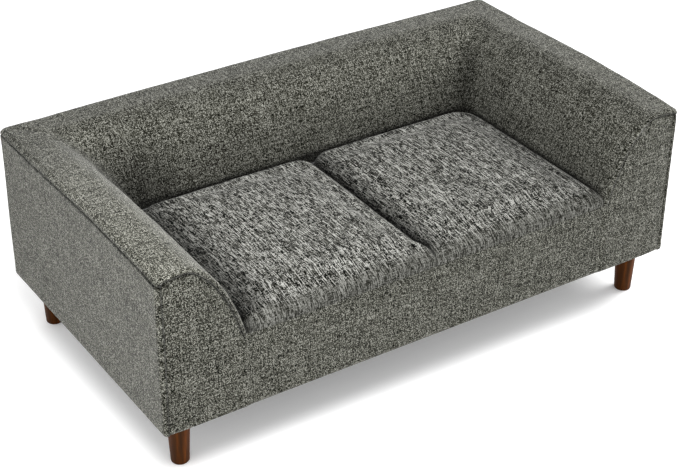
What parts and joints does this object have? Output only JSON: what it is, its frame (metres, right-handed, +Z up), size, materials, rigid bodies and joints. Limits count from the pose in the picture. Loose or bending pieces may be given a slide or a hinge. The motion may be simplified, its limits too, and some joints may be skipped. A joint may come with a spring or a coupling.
{
  "type": "upholstered dog bed with frame",
  "caption": "Low two-seat upholstered dog sofa: padded back and arms of one height, straight apron, loose crowned seat cushions, turned tapered wooden legs.",
  "frame": {"origin": "on the floor, under the middle of the bed", "axes": "+X along the bed from the left arm to the right arm seen from the front, +Y towards the back, +Z up"},
  "size_m": [1, 0.556, 0.372],
  "materials": {
    "body_fabric": "matte",
    "cushion_fabric": "matte",
    "deck_cloth": "matte",
    "dust_cloth": "matte",
    "foam": "matte",
    "plywood": "matte",
    "pine": "matte",
    "walnut": "satin",
    "steel": "satin",
    "zip_tape": "matte",
    "zip_metal": "satin"
  },
  "bodies": {
    "frame": {"left_side_panel": "body_fabric", "right_side_panel": "body_fabric", "left_arm_wrap": "body_fabric", "right_arm_wrap": "body_fabric", "back_wrap": "body_fabric", "rear_panel": "body_fabric", "front_panel": "body_fabric", "deck_cloth": "deck_cloth", "dust_cover": "dust_cloth", "left_arm_foam": "foam", "right_arm_foam": "foam", "back_foam": "foam", "left_side_board": "plywood", "right_side_board": "plywood", "back_board": "plywood", "left_front_board": "plywood", "right_front_board": "plywood", "seat_deck": "plywood", "front_rail": "pine", "back_rail": "pine", "left_side_rail": "pine", "right_side_rail": "pine", "left_joist": "pine", "centre_joist": "pine", "right_joist": "pine", "left_top_rail": "pine", "right_top_rail": "pine", "back_top_rail": "pine", "corner_block_front_left": "pine", "corner_block_front_right": "pine", "corner_block_back_left": "pine", "corner_block_back_right": "pine", "leg_front_left": "walnut", "leg_front_right": "walnut", "leg_back_left": "walnut", "leg_back_right": "walnut", "hanger_bolt_front_left": "steel", "hanger_bolt_front_right": "steel", "hanger_bolt_back_left": "steel", "hanger_bolt_back_right": "steel", "t_nut_front_left": "steel", "t_nut_front_right": "steel", "t_nut_back_left": "steel", "t_nut_back_right": "steel"},
    "left_cushion": {"left_cushion_cover": "cushion_fabric", "left_cushion_foam": "foam", "left_cushion_zip": "zip_tape"},
    "right_cushion": {"right_cushion_cover": "cushion_fabric", "right_cushion_foam": "foam", "right_cushion_zip": "zip_tape"},
    "left_slider": {"left_zip_slider": "zip_metal"},
    "right_slider": {"right_zip_slider": "zip_metal"}
  },
  "joints": [
    {"name": "left_cushion_lift", "type": "slide", "parent": "frame", "child": "left_cushion", "axis": [0, 0, 1], "range_m": [0, 0.18]},
    {"name": "right_cushion_lift", "type": "slide", "parent": "frame", "child": "right_cushion", "axis": [0, 0, 1], "range_m": [0, 0.18]},
    {"name": "left_zip_slide", "type": "slide", "parent": "left_cushion", "child": "left_slider", "axis": [1, 0, 0], "range_m": [0, 0.274]},
    {"name": "right_zip_slide", "type": "slide", "parent": "right_cushion", "child": "right_slider", "axis": [1, 0, 0], "range_m": [0, 0.274]}
  ]
}
